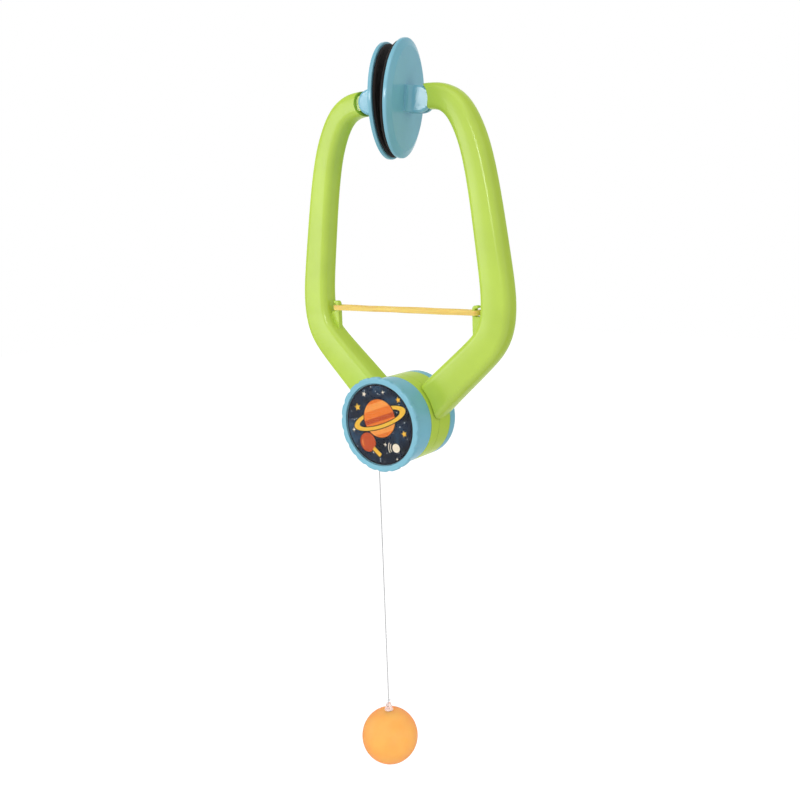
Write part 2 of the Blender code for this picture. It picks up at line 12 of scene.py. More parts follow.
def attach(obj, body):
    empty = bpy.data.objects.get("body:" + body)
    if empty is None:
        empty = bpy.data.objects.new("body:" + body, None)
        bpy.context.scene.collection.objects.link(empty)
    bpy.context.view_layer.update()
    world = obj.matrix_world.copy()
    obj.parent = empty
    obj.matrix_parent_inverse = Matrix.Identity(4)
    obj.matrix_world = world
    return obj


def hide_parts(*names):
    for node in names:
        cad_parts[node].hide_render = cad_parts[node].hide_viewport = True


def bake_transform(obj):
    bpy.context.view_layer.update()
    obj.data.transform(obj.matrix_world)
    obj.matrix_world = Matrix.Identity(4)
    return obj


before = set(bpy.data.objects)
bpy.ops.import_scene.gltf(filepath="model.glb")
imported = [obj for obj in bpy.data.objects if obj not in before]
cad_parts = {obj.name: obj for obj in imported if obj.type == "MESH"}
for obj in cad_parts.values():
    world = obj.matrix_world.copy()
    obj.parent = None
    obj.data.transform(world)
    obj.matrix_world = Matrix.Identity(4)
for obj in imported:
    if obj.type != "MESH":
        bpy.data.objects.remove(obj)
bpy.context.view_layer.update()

MM = 0.001
HUB_Z = -210.0 * MM
HUB = Matrix.Translation((0, 0, HUB_Z))
GAP = 0.3 * MM

# Camera, as the photograph was taken
AZIMUTH = math.radians(36.77)
ELEVATION = math.radians(11.27)
ROLL = math.radians(-2.0)
FOCAL = 42.04                # mm on a sensor 36 mm wide
DISTANCE = 651.5 * MM
TARGET = Vector((-5.63 * MM, 0, 10.77 * MM + HUB_Z))

# Arms: the middle line of the right one, as (x, height over the drum axis) in mm
ARM_ROUTE = [(24.3, 210.6), (34, 210.7), (46, 205), (56.5, 187), (63.5, 162), (70.3, 120), (75, 80),
             (71, 58.5), (58, 44.2), (36, 24.2), (0, -9.4)]
ARM_TIP_WIDTH = 15.6 * MM
ARM_ROOT_WIDTH = 26.0 * MM
ARM_HALF_DEPTH = 7.4 * MM
ARM_FLARE = 0.6              # share of the bar's length where its front starts to come forward
ROOT_FORWARD = 4.4 * MM      # how far the front has come forward at the drum axis
ARM_EDGE = 4.6 * MM
ARM_CROWN = 0.25 * MM        # the bar's flats bulge this much
DRUM_RADIUS = 30.0 * MM
FRONT_RING = (-13.1 * MM, -4.7 * MM)
REAR_RING = (9.3 * MM, -3.8 * MM)
RING_RIM = 2.4 * MM
RING_BORE = 9.3 * MM
WALL = 2.0 * MM
EDGE = 0.6 * MM

# Hook posts and band
POST_X = 59.0 * MM
POST_HEIGHT = 73.9 * MM
POST_DEPTH = 4.0 * MM
POST_EDGE = 0.45 * MM
POST_CORNERS = [             # the right post's outline in mm from its middle, with the corners' radii
    (-2.9, -15.5, 0), (-2.9, 4.8, 2.2), (1.5, 4.8, 1.0), (1.5, 3.25, 0.5), (-0.8, 2.4, 0.7),
    (-0.8, -2.1, 0.7), (2.7, -2.6, 0.5), (9.0, -9.5, 0), (2.0, -19.0, 0)]
NECK_X = 57.3 * MM           # middle of the band's loop round the neck
BAND_WIDTH = 3.4 * MM
BAND_THICKNESS = 1.5 * MM
BAND_EDGE = 0.35 * MM
BAND_TURN = POST_DEPTH / 2 + GAP + BAND_THICKNESS / 2

# Pads
PIVOT_X = 19.7 * MM
PAD_YAW = math.radians(17.4)
LEFT_TILT = math.radians(1)
RIGHT_TILT = math.radians(-6)
LEFT_RISE = 1.0 * MM
RIGHT_RISE = -0.8 * MM
PAD_REACH = 13.0 * MM
PAD_RADIUS = 37.1 * MM
PAD_RIM = 2.5 * MM
PAD_CONE_DEPTH = 2.0 * MM
PAD_CONE_WIDTH = 5.0 * MM
FOAM_RADIUS = 35.8 * MM
FOAM_FACE = 15.2 * MM
LUG_RADIUS = 8.3 * MM
LUG_HALF = 6.0 * MM
LUG_COVE = 3.85 * MM
LUG_COVE_END = 13            # degrees of the cove's quarter that its foot leaves off
LUG_STEP = 1.1 * MM          # height of the foot's edge over the disc
LUG_EDGE = 1.4 * MM
LUG_SINK = 3.0 * MM          # how far the lug runs into the disc
SOCKET_RADIUS = 10.0 * MM
TONGUE_WIDTH = 3.2 * MM
TONGUE_RADIUS = 5.0 * MM
TONGUE_REACH = 14.5 * MM     # from the pin back into the arm
TONGUE_EDGE = 0.4 * MM
PIN_RADIUS = 1.5 * MM
PIN_COVER = 2.0 * MM         # wall of the lug that hides the pin's front end

# Knob, dial and drum
KNOB_RADIUS = 32.3 * MM
KNOB_LOBES = 20
KNOB_NOTCH = 0.7 * MM
KNOB_NOTCH_ANGLE = math.radians(4.5)
KNOB_PHASE = math.radians(13)
KNOB_FRONT = -32.9 * MM
KNOB_BACK = -29.3 * MM
WINDOW_RADIUS = 28.2 * MM
WINDOW_FLOOR = -30.9 * MM
DIAL_FRONT = -31.5 * MM
LENS_BACK = -31.8 * MM
LENS_EDGE = -32.3 * MM
LENS_CROWN = 0.9 * MM
HOUSING_FRONT = -28.9 * MM
HOUSING_BACK = -13.4 * MM
CAP_FRONT = 9.6 * MM
CAP_BACK = 16.9 * MM

# Line and ball
BALL_RADIUS = 20.0 * MM
BALL_HOLE = 1.8 * MM
LINE_X = -4.0 * MM
LINE_Y = -28.3 * MM
LINE_RADIUS = 0.3 * MM
LINE_TOP = -238.5 * MM
LINE_END = -413.3 * MM       # where it goes into the knot
BALL_Z = HUB_Z - 231.0 * MM
POCKET_DEPTH = 4.0 * MM      # in the ball, for the eyelet's stem
STEM_DEPTH = 3.0 * MM
EYELET_BASE = BALL_RADIUS + GAP           # heights over the ball's middle
EYELET_FLANGE = EYELET_BASE + 0.7 * MM
EYELET_EYE = EYELET_FLANGE + 1.6 * MM
EYELET_APEX = EYELET_EYE + 3.3 * MM
EYELET_FOOT = 2.9 * MM       # half the width of the plate at the flange
EYELET_TIP = 1.1 * MM        # and at the apex
EYELET_DEPTH = 2.0 * MM
KNOT_LOOP = 1.75 * MM
KNOT_WRAPS = 5
KNOT_STEPS = 10              # points round each wrap
KNOT_RADIUS = 0.62 * MM
KNOT_HEIGHT = 1.5 * MM
KNOT_LINE = 0.26 * MM        # radius of the line in the knot

ROUND = 160                  # facets round a large turned piece
SMALL = 48                   # facets round a small one
BIG = 0.1                    # past the end of whatever a tool cuts
SHARP = 32                   # degrees between faces from which an edge looks sharp
SOFT_EDGE = 0.5 * MM         # radius that moulded edges seem to have


# Meshes

def solid(verts, faces):
    """A mesh from points and faces, welded, with its faces turned outwards."""
    mesh = bpy.data.meshes.new("solid")
    mesh.from_pydata(verts, [], faces)
    return tidy(mesh)


def tidy(mesh):
    work = bmesh.new()
    work.from_mesh(mesh)
    bmesh.ops.remove_doubles(work, verts=work.verts, dist=0.002 * MM)
    bmesh.ops.dissolve_degenerate(work, edges=work.edges, dist=0.002 * MM)
    bmesh.ops.recalc_face_normals(work, faces=work.faces)
    work.to_mesh(mesh)
    work.free()
    return mesh


def moved(mesh, matrix):
    mesh.transform(matrix)
    return mesh


def evaluated(thing):
    """The mesh that an object has with its modifiers; the object goes."""
    bpy.context.scene.collection.objects.link(thing)
    depsgraph = bpy.context.evaluated_depsgraph_get()
    mesh = bpy.data.meshes.new_from_object(thing.evaluated_get(depsgraph))
    bpy.data.objects.remove(thing)
    return tidy(mesh)


def combine(mesh, operation, other):
    """A Boolean of two meshes in one space."""
    tool = bpy.data.objects.new("tool", other)
    bpy.context.scene.collection.objects.link(tool)
    thing = bpy.data.objects.new("thing", mesh)
    step = thing.modifiers.new("boolean", "BOOLEAN")
    step.operation = operation
    step.object = tool
    step.solver = "EXACT"
    result = evaluated(thing)
    bpy.data.objects.remove(tool)
    return result


def loft(sections, cyclic=False):
    """Faces between rings of points, which all have the same count. Open ends get a cap."""
    count = len(sections[0])
    verts = [point for section in sections for point in section]
    pairs = list(zip(range(len(sections)), range(1, len(sections))))
    if cyclic:
        pairs.append((len(sections) - 1, 0))
    faces = []
    for a, b in pairs:
        for i in range(count):
            j = (i + 1) % count
            faces.append((a * count + i, a * count + j, b * count + j, b * count + i))
    if not cyclic:
        faces.append(tuple(range(count)))
        faces.append(tuple(range(len(verts) - count, len(verts))))
    return solid(verts, faces)


def turned(profile, steps=ROUND, closed=True, shape=None):
    """A solid turned about Y from (radius, y) points. An open profile starts and ends on the axis.

    shape(angle) is added to every radius beyond the knob's window.
    """
    verts = []
    rings = []
    for radius, y in profile:
        rings.append(len(verts))
        if radius < 1e-9:
            verts.append((0, y, 0))
            continue
        for i in range(steps):
            angle = 2 * math.pi * i / steps
            r = radius + shape(angle) if shape and radius > WINDOW_RADIUS + MM else radius
            verts.append((r * math.cos(angle), y, r * math.sin(angle)))
    faces = []
    ends = list(zip(range(len(profile)), range(1, len(profile))))
    if closed:
        ends.append((len(profile) - 1, 0))
    for a, b in ends:
        point_a = profile[a][0] < 1e-9
        point_b = profile[b][0] < 1e-9
        for i in range(steps):
            j = (i + 1) % steps
            if point_a:
                faces.append((rings[a], rings[b] + i, rings[b] + j))
            elif point_b:
                faces.append((rings[a] + i, rings[a] + j, rings[b]))
            else:
                faces.append((rings[a] + i, rings[a] + j, rings[b] + j, rings[b] + i))
    return solid(verts, faces)


def rounded(corners):
    """Points of an outline given as (x, y, radius), with an arc at each corner that has a radius."""
    points = []
    for i, (x, y, radius) in enumerate(corners):
        if radius == 0:
            points.append((x, y))
            continue
        here = Vector((x, y))
        before = (Vector(corners[i - 1][:2]) - here).normalized()
        after = (Vector(corners[(i + 1) % len(corners)][:2]) - here).normalized()
        half = before.angle(after) / 2
        centre = here + (before + after).normalized() * radius / math.sin(half)
        start = here + before * radius / math.tan(half) - centre
        end = here + after * radius / math.tan(half) - centre
        first = math.atan2(start.y, start.x)
        sweep = (math.atan2(end.y, end.x) - first + math.pi) % (2 * math.pi) - math.pi
        steps = max(3, math.ceil(abs(sweep) / math.radians(12)))
        for k in range(steps + 1):
            angle = first + sweep * k / steps
            points.append((centre.x + radius * math.cos(angle), centre.y + radius * math.sin(angle)))
    return points


def arc(centre, radius, start, end, steps):
    angles = [math.radians(start + (end - start) * i / steps) for i in range(steps + 1)]
    return [(centre[0] + radius * math.cos(a), centre[1] + radius * math.sin(a)) for a in angles]


def flat(loops, depth, edge=0.0, steps=3):
    """An outline in X and Z, with holes, of this depth along Y, with rounded edges inside the outline."""
    curve = bpy.data.curves.new("outline", "CURVE")
    curve.dimensions = "2D"
    curve.fill_mode = "BOTH"
    curve.extrude = depth / 2 - edge
    curve.bevel_depth = edge
    curve.bevel_resolution = steps
    curve.offset = -edge
    for points in loops:
        spline = curve.splines.new("POLY")
        spline.points.add(len(points) - 1)
        for corner, (x, z) in zip(spline.points, points):
            corner.co = (x, z, 0, 1)
        spline.use_cyclic_u = True
    mesh = evaluated(bpy.data.objects.new("outline", curve))
    return moved(mesh, Matrix.Rotation(math.pi / 2, 4, "X"))


def tube(points, radius, sides):
    """A round tube along points, with its section carried along without twist."""
    line = [Vector(p) for p in points]
    last = len(line) - 1
    normal = None
    sections = []
    for i, point in enumerate(line):
        along = (line[min(i + 1, last)] - line[max(i - 1, 0)]).normalized()
        if normal is None:
            normal = along.orthogonal()
        normal = (normal - along * normal.dot(along)).normalized()
        side = along.cross(normal)
        turn = [2 * math.pi * k / sides for k in range(sides)]
        sections.append([point + radius * (math.cos(a) * normal + math.sin(a) * side) for a in turn])
    return loft(sections)


def box(low, high):
    corners = [(x, y, z) for x in (low[0], high[0]) for y in (low[1], high[1]) for z in (low[2], high[2])]
    faces = [(0, 1, 3, 2), (4, 6, 7, 5), (0, 4, 5, 1), (2, 3, 7, 6), (0, 2, 6, 4), (1, 5, 7, 3)]
    return solid(corners, faces)


def piece(name, mesh, material, body=None, nodes=(), sharp=SHARP):
    """A visible piece: smooth, with its material, on its body, in place of its CAD nodes."""
    thing = bpy.data.objects.new(name, mesh)
    mesh.name = name
    mesh.materials.clear()
    mesh.materials.append(material)
    mesh.shade_smooth()
    mesh.set_sharp_from_angle(angle=math.radians(sharp))
    bpy.context.scene.collection.objects.link(thing)
    thing.modifiers.new("flat_faces_stay_flat", "WEIGHTED_NORMAL").keep_sharp = True
    if body:
        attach(thing, body)
    if nodes:
        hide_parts(*nodes)
    return thing


# Materials

class Nodes:
    """A material's node tree, with short calls for the nodes that these finishes share."""

    def __init__(self, name):
        self.material = bpy.data.materials.new(name)
        self.material.use_nodes = True
        self.tree = self.material.node_tree
        self.shader = self.tree.nodes["Principled BSDF"]
        self.place = self.add("ShaderNodeTexCoord").outputs["Object"]

    def add(self, kind, **values):
        node = self.tree.nodes.new(kind)
        for name, value in values.items():
            setattr(node, name, value)
        return node

    def link(self, output, target):
        self.tree.links.new(output, target)

    def set(self, **values):
        for name, value in values.items():
            self.shader.inputs[name.replace("_", " ")].default_value = value

    def noise(self, scale, detail=2.0, roughness=0.5):
        node = self.add("ShaderNodeTexNoise")
        node.inputs["Scale"].default_value = scale
        node.inputs["Detail"].default_value = detail
        node.inputs["Roughness"].default_value = roughness
        self.link(self.place, node.inputs["Vector"])
        return node.outputs["Fac"]

    def ramp(self, factor, *stops):
        """A colour ramp with stops (position, colour)."""
        node = self.add("ShaderNodeValToRGB")
        elements = node.color_ramp.elements
        while len(elements) < len(stops):
            elements.new(0.5)
        for element, (position, colour) in zip(elements, stops):
            element.position = position
            element.color = (*colour, 1)
        self.link(factor, node.inputs["Fac"])
        return node.outputs["Color"]

    def span(self, factor, low, high, start=0.0, end=1.0):
        """A factor mapped from start and end to low and high."""
        node = self.add("ShaderNodeMapRange")
        for name, value in (("From Min", start), ("From Max", end), ("To Min", low), ("To Max", high)):
            node.inputs[name].default_value = value
        self.link(factor, node.inputs["Value"])
        return node.outputs["Result"]

    def mix(self, factor, first, second):
        """A mix of two colours, each a colour or a socket."""
        node = self.add("ShaderNodeMix", data_type="RGBA")
        sockets = (node.inputs[0], node.inputs[6], node.inputs[7])
        for socket, value in zip(sockets, (factor, first, second)):
            if hasattr(value, "links"):
                self.link(value, socket)
            else:
                socket.default_value = value if socket is node.inputs[0] else (*value, 1)
        return node.outputs[2]

    def bump(self, height, distance, strength=1.0, round_edges=0.0):
        """Relief from a height, over edges that are softened by round_edges."""
        node = self.add("ShaderNodeBump")
        node.inputs["Strength"].default_value = strength
        node.inputs["Distance"].default_value = distance
        self.link(height, node.inputs["Height"])
        if round_edges:
            bevel = self.add("ShaderNodeBevel", samples=6)
            bevel.inputs["Radius"].default_value = round_edges
            self.link(bevel.outputs["Normal"], node.inputs["Normal"])
        self.link(node.outputs["Normal"], self.shader.inputs["Normal"])


def srgb(red, green, blue):
    """A colour on the screen, from 0 to 255, as the linear colour of a material."""
    return tuple((c / 255 / 12.92) if c <= 10 else ((c / 255 + 0.055) / 1.055) ** 2.4
                 for c in (red, green, blue))


def scaled(colour, factor):
    return tuple(min(1.0, c * factor) for c in colour)


def moulded(name, colour, roughness, glow=0.0):
    """Injection-moulded plastic: flow marks, a fine grain, soft edges, and less gloss at a slant."""
    n = Nodes(name)
    flow = n.noise(28, 3, 0.55)
    colours = n.ramp(flow, (0.3, scaled(colour, 0.94)), (0.7, scaled(colour, 1.05)))
    n.link(colours, n.shader.inputs["Base Color"])
    smear = n.noise(170, 4, 0.6)
    n.link(n.span(smear, roughness - 0.02, roughness + 0.03, 0.3, 0.7), n.shader.inputs["Roughness"])
    n.bump(n.noise(1500, 2, 0.5), 0.012 * MM, 0.6, SOFT_EDGE)
    slant = n.add("ShaderNodeLayerWeight").outputs["Facing"]
    n.link(n.span(slant, 0.55, 0.05, 0.22, 0.45), n.shader.inputs["Specular IOR Level"])
    n.set(IOR=1.49)
    if glow:
        n.set(Subsurface_Weight=glow, Subsurface_Radius=(1.0, 1.0, 0.5), Subsurface_Scale=2.5 * MM)
    return n.material


def foam_finish():
    """Closed-cell foam: near black, dull, with small pits."""
    n = Nodes("black_foam")
    colours = n.ramp(n.noise(90, 4, 0.6), (0.3, srgb(17, 13, 13)), (0.75, srgb(34, 27, 25)))
    n.link(colours, n.shader.inputs["Base Color"])
    n.set(Roughness=0.85, IOR=1.4)
    cells = n.add("ShaderNodeTexVoronoi")
    cells.inputs["Scale"].default_value = 1900
    n.link(n.place, cells.inputs["Vector"])
    n.bump(cells.outputs["Distance"], 0.12 * MM, 0.7)
    return n.material


def latex_finish():
    """Cut latex: warm tan, slightly clear, with fine lines along the band."""
    n = Nodes("tan_rubber")
    stretch = n.add("ShaderNodeMapping")
    stretch.inputs["Scale"].default_value = (60, 900, 900)
    n.link(n.place, stretch.inputs["Vector"])
    lines = n.add("ShaderNodeTexNoise")
    lines.inputs["Scale"].default_value = 1.0
    lines.inputs["Detail"].default_value = 4
    n.link(stretch.outputs["Vector"], lines.inputs["Vector"])
    grain = lines.outputs["Fac"]
    colours = n.ramp(grain, (0.3, srgb(230, 192, 92)), (0.7, srgb(250, 222, 124)))
    n.link(colours, n.shader.inputs["Base Color"])
    n.link(n.span(grain, 0.42, 0.58, 0.3, 0.7), n.shader.inputs["Roughness"])
    n.set(Subsurface_Weight=0.25, Subsurface_Radius=(1.0, 0.6, 0.2), Subsurface_Scale=1.2 * MM)
    n.bump(grain, 0.05 * MM, 0.5)
    return n.material


def celluloid_finish():
    """The ball: matt orange that lets light through, with a faint powdery mottle."""
    n = Nodes("orange_celluloid")
    colours = n.ramp(n.noise(60, 4, 0.6), (0.3, srgb(255, 167, 76)), (0.7, srgb(255, 180, 90)))
    n.link(colours, n.shader.inputs["Base Color"])
    n.link(n.span(n.noise(260, 4, 0.6), 0.5, 0.62, 0.3, 0.7), n.shader.inputs["Roughness"])
    n.set(Subsurface_Weight=1.0, Subsurface_Radius=(1.0, 0.7, 0.3), Subsurface_Scale=32 * MM, IOR=1.5)
    n.set(Sheen_Weight=0.9, Sheen_Roughness=0.5, Sheen_Tint=(*srgb(255, 120, 80), 1))
    n.bump(n.noise(2200, 2, 0.5), 0.01 * MM, 0.5)
    return n.material


def clear_finish(name, colour, roughness, ior, clear=1.0):
    """Clear plastic with slight haze; milky where it isn't all clear."""
    n = Nodes(name)
    n.set(Base_Color=(*colour, 1), Transmission_Weight=clear, IOR=ior)
    haze = n.span(n.noise(220, 3, 0.5), roughness, roughness + 0.05, 0.35, 0.7)
    n.link(haze, n.shader.inputs["Roughness"])
    return n.material


def filament_finish(name, grey):
    """Nylon monofilament: pale and glossy."""
    n = Nodes(name)
    tone = srgb(grey, grey, grey + 2)
    colours = n.ramp(n.noise(120, 2, 0.5), (0.3, scaled(tone, 0.9)), (0.7, scaled(tone, 1.1)))
    n.link(colours, n.shader.inputs["Base Color"])
    n.set(Roughness=0.35, IOR=1.5)
    return n.material


def steel_finish():
    """Zinc-plated steel with fine turning marks."""
    n = Nodes("zinc_steel")
    marks = n.noise(700, 3, 0.6)
    colours = n.ramp(marks, (0.3, srgb(170, 172, 176)), (0.7, srgb(206, 208, 212)))
    n.link(colours, n.shader.inputs["Base Color"])
    n.link(n.span(marks, 0.25, 0.42, 0.3, 0.7), n.shader.inputs["Roughness"])
    n.set(Metallic=1.0)
    n.bump(marks, 0.01 * MM, 0.5)
    return n.material


def sky_finish():
    """The dial's printed ground: night blue with drifts of paler cloud and small stars."""
    n = Nodes("printed_sky")
    cloud = n.noise(55, 6, 0.62)
    ground = n.ramp(cloud, (0.36, srgb(13, 17, 26)), (0.52, srgb(27, 41, 62)), (0.64, srgb(48, 78, 104)),
                    (0.74, srgb(104, 124, 128)))
    stars = n.add("ShaderNodeTexVoronoi")
    stars.inputs["Scale"].default_value = 520
    n.link(n.place, stars.inputs["Vector"])
    split = n.add("ShaderNodeSeparateColor")
    n.link(stars.outputs["Color"], split.inputs["Color"])
    radius = n.span(split.outputs["Red"], 0.0, 0.26, 0.45, 1.0)
    inside = n.add("ShaderNodeMath", operation="LESS_THAN")
    n.link(stars.outputs["Distance"], inside.inputs[0])
    n.link(radius, inside.inputs[1])
    n.link(n.mix(inside.outputs[0], ground, srgb(222, 232, 240)), n.shader.inputs["Base Color"])
    n.set(Roughness=0.45, Specular_IOR_Level=0.0)
    return n.material


def ink(name, colour):
    """A printed colour, with the slight unevenness of a screen print."""
    n = Nodes(name)
    colours = n.ramp(n.noise(420, 3, 0.6), (0.3, scaled(colour, 0.93)), (0.7, scaled(colour, 1.05)))
    n.link(colours, n.shader.inputs["Base Color"])
    n.set(Roughness=0.42, Specular_IOR_Level=0.0)
    return n.material


GREEN = moulded("lime_plastic", srgb(188, 216, 78), roughness=0.22, glow=0.06)
BLUE = moulded("light_blue_plastic", srgb(128, 191, 211), roughness=0.18, glow=0.03)
FOAM = foam_finish()
LATEX = latex_finish()
CELLULOID = celluloid_finish()
CLEAR = clear_finish("clear_cover", (1.0, 1.0, 1.0), roughness=0.02, ior=1.22)
EYELET_CLEAR = clear_finish("milky_eyelet", srgb(250, 232, 226), roughness=0.25, ior=1.3, clear=0.45)
FILAMENT = filament_finish("nylon_line", grey=168)
# The knot is the line's own nylon. Its grey is painted lighter than the line's to offset the shade that falls
# on it among its wraps and by the eyelet.
KNOT_FILAMENT_PAINTED_LIGHTER = filament_finish("nylon_knot_painted_lighter", grey=226)
STEEL = steel_finish()
SKY = sky_finish()
NYLON = moulded("nylon", srgb(214, 212, 204), roughness=0.45)


# Arms

def smooth_route(points, steps, passes, reach):
    """Points on an even, smooth curve along a route."""
    ends = [2 * points[0] - points[1], *points, 2 * points[-1] - points[-2]]
    line = []
    for before, start, end, after in zip(ends, ends[1:], ends[2:], ends[3:]):
        count = max(2, round((end - start).length / steps))
        for i in range(count):
            t = i / count
            line.append(0.5 * (2 * start + (end - before) * t
                               + (2 * before - 5 * start + 4 * end - after) * t ** 2
                               + (3 * start - before - 3 * end + after) * t ** 3))
    line.append(points[-1])
    for _ in range(passes):
        smooth = []
        for i in range(len(line)):
            span = min(reach, i, len(line) - 1 - i)
            near = line[i - span:i + span + 1]
            smooth.append(sum(near, Vector((0, 0))) / len(near))
        line = smooth
    return line


def bar_section(half_width, front, back):
    """Points round the bar: (across, depth), with round corners and slightly crowned flats."""
    middle = (front + back) / 2
    half_depth = (back - front) / 2
    points = []
    for quarter, (sign_x, sign_y) in enumerate(((1, 1), (-1, 1), (-1, -1), (1, -1))):
        x = sign_x * (half_width - ARM_EDGE)
        y = sign_y * (half_depth - ARM_EDGE)
        points += arc((x, middle + y), ARM_EDGE, 90 * quarter, 90 * quarter + 90, 8)
        for t in (0.5, 0.0, -0.5):
            bulge = ARM_CROWN * (1 - t * t)
            if quarter % 2 == 0:
                points.append((t * x, middle + sign_y * (half_depth + bulge)))
            else:
                points.append((sign_x * (half_width + bulge), middle + t * y))
    return points


def bar_mesh(side):
    """An arm's bar, which grows wider from its tip and comes forward towards its root."""
    route = smooth_route([Vector((x * MM, z * MM)) for x, z in ARM_ROUTE], 2.0 * MM, 3, 3)
    lengths = [0.0]
    for a, b in zip(route, route[1:]):
        lengths.append(lengths[-1] + (b - a).length)
    sections = []
    for i, point in enumerate(route):
        along = route[min(i + 1, len(route) - 1)] - route[max(i - 1, 0)]
        across = Vector((-along.y, along.x)).normalized()
        share = lengths[i] / lengths[-1]
        width = ARM_TIP_WIDTH + (ARM_ROOT_WIDTH - ARM_TIP_WIDTH) * share
        forward = ROOT_FORWARD * max(0.0, (share - ARM_FLARE) / (1 - ARM_FLARE))
        section = []
        for u, v in bar_section(width / 2, -ARM_HALF_DEPTH - forward, ARM_HALF_DEPTH):
            spot = point + across * u
            section.append((side * spot.x, v, spot.y))
        sections.append(section)
    return loft(sections)


def ring_mesh(web, open_end):
    """A hub ring with its web, rim and sleeve."""
    inward = 1 if open_end > web else -1
    floor = web + inward * WALL
    rim = DRUM_RADIUS - RING_RIM
    sleeve = RING_BORE + WALL
    lip = open_end + inward * GAP
    return turned(rounded([
        (DRUM_RADIUS, web, EDGE), (DRUM_RADIUS, lip, EDGE / 4), (rim, lip, 0), (rim, floor, 0),
        (sleeve, floor, 0), (sleeve, open_end, 0), (RING_BORE, open_end, 0), (RING_BORE, web, 0)]))


def root_cutter(side):
    """What the bar leaves free at the drum: the other arm's ring, and the inside of its own."""
    lap = 0.2 * MM
    clear = DRUM_RADIUS + 2 * GAP
    own = DRUM_RADIUS - 1.4 * MM
    step = REAR_RING[1] + lap if side > 0 else FRONT_RING[1] - lap
    front, back = (clear, own) if side > 0 else (own, clear)
    profile = [(0, -BIG), (front, -BIG), (front, step), (back, step), (back, BIG), (0, BIG)]
    return turned(profile, ROUND - 10, closed=False)


def post_mesh(side):
    """A hook post: straight inside, with a neck outside for the band and a head that slopes to clear it."""
    outline = rounded([(x * MM, z * MM, r * MM) for x, z, r in POST_CORNERS])
    points = [(side * (POST_X + x), POST_HEIGHT + z) for x, z in outline]
    return flat([points], POST_DEPTH, POST_EDGE)


def pad_matrix(side, tilt=0.0):
    """The pad pivot's space: X to the other pad, Y along the pin, Z up."""
    rise, turn = (LEFT_RISE, PAD_YAW) if side < 0 else (RIGHT_RISE, PAD_YAW + math.pi)
    return Matrix.Translation((side * PIVOT_X, 0, rise)) @ Euler((0, tilt, turn)).to_matrix().to_4x4()


def cylinder(radius, low, high, steps=SMALL):
    return turned([(0, low), (radius, low), (radius, high), (0, high)], steps, closed=False)


def make_arm(name, side, ring, node):
    mesh = combine(bar_mesh(side), "DIFFERENCE", root_cutter(side))
    mesh = combine(mesh, "UNION", ring_mesh(*ring))
    mesh = combine(mesh, "UNION", post_mesh(side))
    mesh = moved(mesh, HUB)
    pivot = pad_matrix(side)
    socket = moved(cylinder(SOCKET_RADIUS, -BIG, BIG, ROUND), Matrix.Translation(pivot.translation))
    mesh = combine(mesh, "DIFFERENCE", socket)
    outline = [(-TONGUE_REACH, -TONGUE_RADIUS), *arc((0, 0), TONGUE_RADIUS, -90, 90, 24),
               (-TONGUE_REACH, TONGUE_RADIUS)]
    mesh = combine(mesh, "UNION", moved(flat([outline], TONGUE_WIDTH, TONGUE_EDGE), pivot))
    mesh = combine(mesh, "DIFFERENCE", moved(cylinder(PIN_RADIUS + GAP, -BIG, BIG), pivot))
    piece(name, mesh, GREEN, node, [node])


make_arm("left_arm_moulding", -1, FRONT_RING, "left_arm")
make_arm("right_arm_moulding", 1, REAR_RING, "right_arm")


# Pads

def lug_mesh():
    """The pad's lug: a block with a round end and soft edges, on a foot with coves that end in a step."""
    face = PAD_REACH - PAD_RIM - PAD_CONE_DEPTH
    root = face + LUG_SINK
    side_view = [(root, LUG_RADIUS), *arc((0, 0), LUG_RADIUS, 90, 270, 28), (root, -LUG_RADIUS)]
    block = flat([side_view], 2 * LUG_HALF, LUG_EDGE, 5)
    flank = LUG_HALF - 0.05 * MM
    start = face - LUG_STEP - LUG_COVE * math.cos(math.radians(LUG_COVE_END))
    cove = arc((start, flank + LUG_COVE), LUG_COVE, -90, -LUG_COVE_END, 12)
    upper = [*cove, (root, cove[-1][1])]
    plan = upper + [(x, -y) for x, y in reversed(upper)]
    high = LUG_RADIUS - 0.1 * MM
    foot = moved(flat([plan], 2 * high, 0.3 * MM), Matrix.Rotation(-math.pi / 2, 4, "X"))
    return combine(block, "UNION", foot)


def disc_mesh():
    """The jaw plate, about X: a thick rim, a sloping shoulder and a flat outer face."""
    rim = PAD_REACH - PAD_RIM
    face = rim - PAD_CONE_DEPTH
    profile = rounded([
        (0, -PAD_REACH, 0), (PAD_RADIUS, -PAD_REACH, 0.7 * MM), (PAD_RADIUS, -rim, 0.8 * MM),
        (PAD_RADIUS - PAD_CONE_WIDTH, -face, 2.5 * MM), (0, -face, 0)])
    return moved(turned(profile, closed=False), Matrix.Rotation(math.pi / 2, 4, "Z"))


def foam_mesh():
    back = PAD_REACH + GAP
    profile = rounded([
        (0, -FOAM_FACE, 0), (FOAM_RADIUS, -FOAM_FACE, 1.0 * MM), (FOAM_RADIUS, -back, 0.4 * MM),
        (0, -back, 0)])
    return moved(turned(profile, closed=False), Matrix.Rotation(math.pi / 2, 4, "Z"))


def make_pad(name, side, tilt):
    pivot = pad_matrix(side, tilt)
    mesh = combine(disc_mesh(), "UNION", lug_mesh())
    slot_half = TONGUE_WIDTH / 2 + GAP
    slot = box((-BIG, -slot_half, -BIG), (TONGUE_RADIUS + 2 * GAP, slot_half, BIG))
    mesh = combine(mesh, "DIFFERENCE", slot)
    pin_hole = sorted((side * (LUG_HALF - PIN_COVER), -side * BIG))
    mesh = combine(mesh, "DIFFERENCE", cylinder(PIN_RADIUS + GAP / 2, *pin_hole))
    piece(name + "_plate", moved(mesh, pivot), BLUE, name, [name + "_disc"])
    foam = piece(name + "_foam_disc", moved(foam_mesh(), pivot), FOAM, name, [name + "_foam"])


make_pad("left_pad", -1, LEFT_TILT)
make_pad("right_pad", 1, RIGHT_TILT)


# Rubber band

